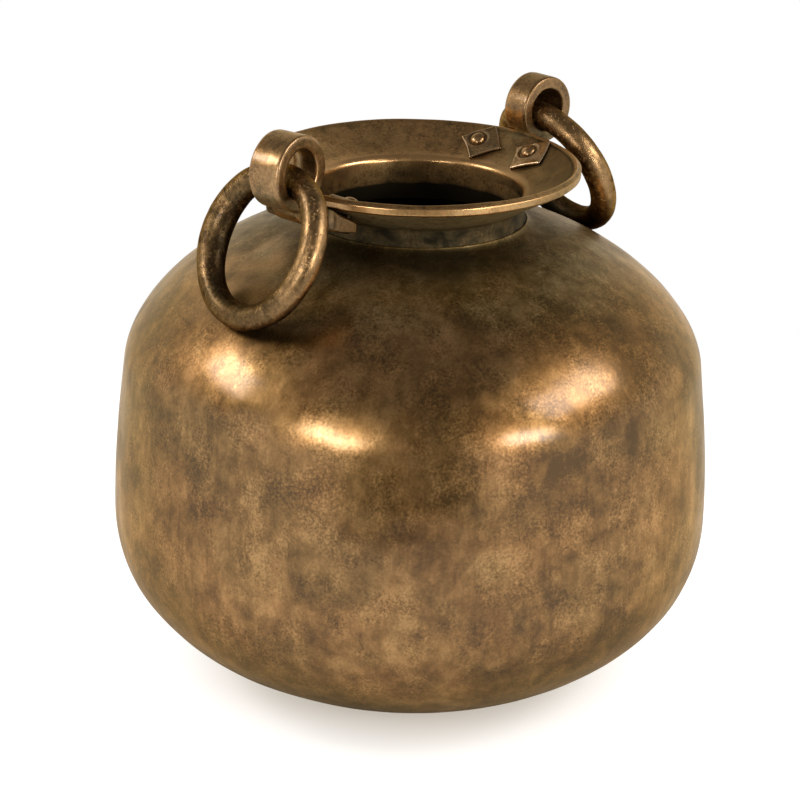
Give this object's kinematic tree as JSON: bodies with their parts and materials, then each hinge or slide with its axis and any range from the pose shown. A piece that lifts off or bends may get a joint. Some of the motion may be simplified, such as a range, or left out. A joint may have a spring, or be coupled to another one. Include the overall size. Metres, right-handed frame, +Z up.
{
  "type": "beaten metal water pot with ring handles",
  "caption": "Round-bellied beaten metal pot with a high shoulder, a short neck, a cast flaring rim and hinged ring handles that hang in riveted lugs; it holds water or stands as a vase.",
  "frame": {"origin": "middle of the flat under the base", "axes": "+Z up along the pot's turning axis, X through both lugs, the right lug on +X"},
  "size_m": [0.4192, 0.42, 0.4097],
  "materials": {
    "body": "beaten, brown patina, rubbed to a soft shine",
    "rim": "cast and turned, brown patina, worn bright at the edge",
    "lug": "cast, brown patina, rubbed bright on the eye",
    "ring": "forged, pitted, worn bright by the hand",
    "rove": "cut plate, dark patina, bright edges",
    "rivet": "beaten dome, worn bright"
  },
  "bodies": {
    "pot": {"vessel_body": "body", "rim_flange": "rim", "left_lug": "lug", "right_lug": "lug", "left_rove_1": "rove", "left_rove_2": "rove", "right_rove_1": "rove", "right_rove_2": "rove", "left_rivet_1": "rivet", "left_rivet_2": "rivet", "right_rivet_1": "rivet", "right_rivet_2": "rivet"},
    "left_handle": {"left_ring": "ring"},
    "right_handle": {"right_ring": "ring"}
  },
  "joints": [
    {"name": "left_ring_swing", "type": "hinge", "parent": "pot", "child": "left_handle", "pos_m": [-0.1232, 0, 0.3838], "axis": [0.1478, 0.989, 0], "range_deg": [0, 250]},
    {"name": "right_ring_swing", "type": "hinge", "parent": "pot", "child": "right_handle", "pos_m": [0.1244, -0.0015, 0.3818], "axis": [-0.1908, -0.9816, 0], "range_deg": [0, 247]}
  ]
}
